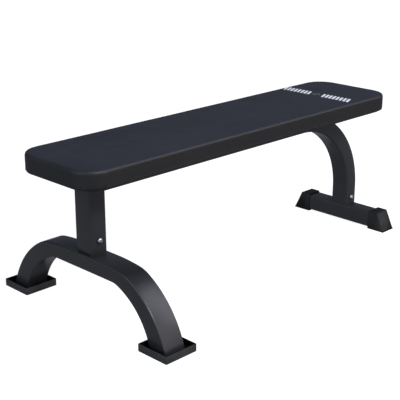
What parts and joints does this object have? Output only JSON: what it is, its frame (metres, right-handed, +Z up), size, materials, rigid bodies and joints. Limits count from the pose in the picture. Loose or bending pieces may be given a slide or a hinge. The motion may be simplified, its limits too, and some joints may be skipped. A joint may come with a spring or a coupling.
{
  "type": "flat weight bench",
  "caption": "Low flat exercise bench: long black padded board on a bent steel spine, with an arched front foot in square trays and a straight rear foot with rubber caps.",
  "frame": {"origin": "on the floor, under the middle of the box around the bench", "axes": "+X along the bench from the arched front foot to the rear foot, +Y to the side away from the bolt heads, +Z up"},
  "size_m": [1.1224, 0.609, 0.411],
  "materials": {
    "vinyl": "matte blue-black upholstery vinyl with a fine grain",
    "foam": "open-cell upholstery foam, sealed inside the pad",
    "plywood": "bare plywood",
    "backing_cloth": "black non-woven dust cloth",
    "frame_black": "satin black powder coat",
    "moulded_black": "moulded black plastic",
    "rubber": "matte black moulded rubber",
    "washer_black": "black oxide steel",
    "zinc": "bright zinc plating"
  },
  "bodies": {
    "root": {"pad_cover": "vinyl", "pad_foam": "foam", "pad_board": "plywood", "pad_backing": "backing_cloth", "cover_staples": "zinc", "tee_nuts": "zinc", "pad_bolts": "zinc", "pad_bolt_washers": "zinc", "pad_bracket_front_left": "frame_black", "pad_bracket_front_right": "frame_black", "pad_bracket_rear_left": "frame_black", "pad_bracket_rear_right": "frame_black", "spine_tube": "frame_black", "front_post": "frame_black", "post_top_plug": "moulded_black", "weld_beads": "frame_black", "front_arch_foot": "frame_black", "front_spigot": "frame_black", "arch_plug_left": "moulded_black", "arch_plug_right": "moulded_black", "front_cup_left": "rubber", "front_cup_right": "rubber", "cup_screws": "zinc", "front_foot_bolt": "zinc", "rear_foot_bolt": "zinc", "foot_bolt_washers": "washer_black", "foot_bolt_nuts": "zinc", "rear_spigot": "frame_black", "rear_stabiliser": "frame_black", "rear_cap_left": "rubber", "rear_cap_right": "rubber"}
  },
  "joints": []
}
